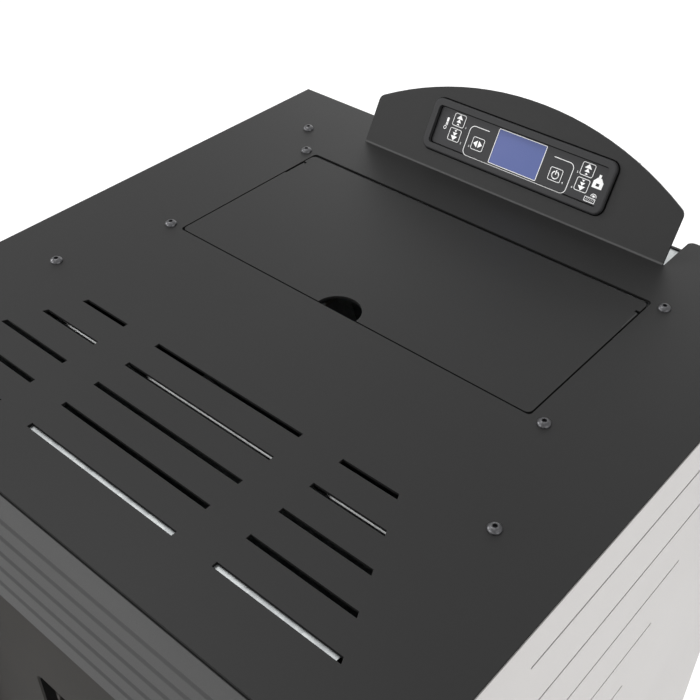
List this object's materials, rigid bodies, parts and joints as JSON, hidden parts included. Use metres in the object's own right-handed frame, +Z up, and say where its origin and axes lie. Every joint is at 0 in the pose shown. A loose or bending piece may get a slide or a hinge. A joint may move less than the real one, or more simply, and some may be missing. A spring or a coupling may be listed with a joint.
{
  "type": "pellet stove",
  "caption": "Free-standing wood pellet stove with a slotted top plate, hinged hopper lid, tilted control panel, glass door, ash drawer and rear flue outlet.",
  "frame": {"origin": "on the floor, under the middle of the stove's bounding box", "axes": "+Z up, +X to the stove's right as seen from in front, +Y to the rear, so the door faces -Y"},
  "size_m": [0.5, 0.56, 1.0691],
  "materials": {
    "plate_black": "satin black powder coat",
    "side_white": "satin light grey paint",
    "fascia_grey": "satin dark grey paint",
    "door_grey": "grey stove paint",
    "stove_black": "matt black stove paint",
    "galvanised": "galvanised",
    "cast_black": "bare casting",
    "stainless": "brushed",
    "hot_glass": "polished",
    "rope": "braided glass fibre",
    "foam": "closed-cell foam",
    "black_plastic": "fine grain",
    "panel_film": "smooth film",
    "display_blue": "clear cover over a display",
    "board_green": "lacquer",
    "motor_steel": "enamel",
    "screw_black": "black oxide",
    "zinc": "zinc plated"
  },
  "bodies": {
    "stove": {"base_frame": "stove_black", "side_panel_left": "side_white", "side_panel_right": "side_white", "back_panel": "galvanised", "top_plate": "plate_black", "top_screws": "screw_black", "lid_hinge_brackets": "galvanised", "control_bezel": "black_plastic", "key_panel": "panel_film", "display_window": "display_blue", "control_housing": "galvanised", "display_board": "board_green", "top_rails": "galvanised", "front_frame": "galvanised", "front_fascia": "fascia_grey", "lower_front_panel": "door_grey", "firebox": "stove_black", "firebox_liners": "cast_black", "air_outlet_duct": "galvanised", "hopper": "galvanised", "lid_seal": "foam", "hopper_grille": "zinc", "auger_tube": "galvanised", "auger_gearmotor": "motor_steel", "pot_seat": "cast_black", "igniter": "stainless", "air_intake_pipe": "galvanised", "smoke_duct": "stove_black", "exhaust_fan_housing": "galvanised", "exhaust_motor": "motor_steel", "flue_spigot": "stove_black", "room_fan_housing": "galvanised", "room_fan_motor": "motor_steel", "drawer_runners": "galvanised", "door_hinge_brackets": "stove_black", "latch_keeper": "zinc", "power_inlet": "black_plastic", "control_board": "board_green"},
    "hopper_lid": {"hopper_lid": "plate_black"},
    "door": {"door_frame": "door_grey", "door_glass": "hot_glass", "door_seals": "rope", "glass_clips": "zinc"},
    "door_handle": {"door_handle": "stainless"},
    "ash_drawer": {"ash_drawer": "door_grey"},
    "burner_pot": {"burner_pot": "cast_black"},
    "auger_screw": {"auger_screw": "stainless"},
    "exhaust_impeller": {"exhaust_impeller": "stainless"},
    "room_fan_drum": {"room_fan_drum": "galvanised"},
    "main_switch": {"main_switch": "black_plastic"},
    "key_heat_up": {"key_heat_up": "panel_film"},
    "key_heat_down": {"key_heat_down": "panel_film"},
    "key_mode": {"key_mode": "panel_film"},
    "key_power": {"key_power": "panel_film"},
    "key_fan_up": {"key_fan_up": "panel_film"},
    "key_fan_down": {"key_fan_down": "panel_film"},
    "foot_front_left": {"foot_front_left": "black_plastic"},
    "foot_rear_left": {"foot_rear_left": "black_plastic"},
    "foot_front_right": {"foot_front_right": "black_plastic"},
    "foot_rear_right": {"foot_rear_right": "black_plastic"}
  },
  "joints": [
    {"name": "lid_hinge", "type": "hinge", "parent": "stove", "child": "hopper_lid", "pos_m": [0, 0.109, 0.991], "axis": [-1, 0, 0], "range_deg": [0, 100]},
    {"name": "door_hinge", "type": "hinge", "parent": "stove", "child": "door", "pos_m": [-0.228, -0.242, 0.6], "axis": [0, 0, -1], "range_deg": [0, 95]},
    {"name": "handle_turn", "type": "hinge", "parent": "door", "child": "door_handle", "pos_m": [0.2, -0.242, 0.6], "axis": [0, 1, 0], "range_deg": [0, 85]},
    {"name": "drawer_slide", "type": "slide", "parent": "stove", "child": "ash_drawer", "axis": [0, -1, 0], "range_m": [0, 0.185]},
    {"name": "pot_lift", "type": "slide", "parent": "stove", "child": "burner_pot", "axis": [0, 0, 1], "range_m": [0, 0.06]},
    {"name": "auger_turn", "type": "hinge", "parent": "stove", "child": "auger_screw", "pos_m": [0, 0.117, 0.55], "axis": [0, -0.7071, 0.7071], "continuous": true},
    {"name": "exhaust_fan_turn", "type": "hinge", "parent": "stove", "child": "exhaust_impeller", "pos_m": [0.117, 0.01, 0.16], "axis": [0, 0, 1], "continuous": true},
    {"name": "room_fan_turn", "type": "hinge", "parent": "stove", "child": "room_fan_drum", "pos_m": [0, -0.15, 0.118], "axis": [1, 0, 0], "continuous": true},
    {"name": "switch_rock", "type": "hinge", "parent": "stove", "child": "main_switch", "pos_m": [-0.196, 0.223, 0.12], "axis": [1, 0, 0], "range_deg": [0, 16]},
    {"name": "key_heat_up_press", "type": "slide", "parent": "stove", "child": "key_heat_up", "axis": [0, 0.875, -0.4841], "range_m": [0, 0.0005], "stiffness_N_per_m": 2000},
    {"name": "key_heat_down_press", "type": "slide", "parent": "stove", "child": "key_heat_down", "axis": [0, 0.875, -0.4841], "range_m": [0, 0.0005], "stiffness_N_per_m": 2000},
    {"name": "key_mode_press", "type": "slide", "parent": "stove", "child": "key_mode", "axis": [0, 0.875, -0.4841], "range_m": [0, 0.0005], "stiffness_N_per_m": 2000},
    {"name": "key_power_press", "type": "slide", "parent": "stove", "child": "key_power", "axis": [0, 0.875, -0.4841], "range_m": [0, 0.0005], "stiffness_N_per_m": 2000},
    {"name": "key_fan_up_press", "type": "slide", "parent": "stove", "child": "key_fan_up", "axis": [0, 0.875, -0.4841], "range_m": [0, 0.0005], "stiffness_N_per_m": 2000},
    {"name": "key_fan_down_press", "type": "slide", "parent": "stove", "child": "key_fan_down", "axis": [0, 0.875, -0.4841], "range_m": [0, 0.0005], "stiffness_N_per_m": 2000},
    {"name": "foot_front_left_level", "type": "slide", "parent": "stove", "child": "foot_front_left", "axis": [0, 0, -1], "range_m": [0, 0.012]},
    {"name": "foot_rear_left_level", "type": "slide", "parent": "stove", "child": "foot_rear_left", "axis": [0, 0, -1], "range_m": [0, 0.012]},
    {"name": "foot_front_right_level", "type": "slide", "parent": "stove", "child": "foot_front_right", "axis": [0, 0, -1], "range_m": [0, 0.012]},
    {"name": "foot_rear_right_level", "type": "slide", "parent": "stove", "child": "foot_rear_right", "axis": [0, 0, -1], "range_m": [0, 0.012]}
  ]
}
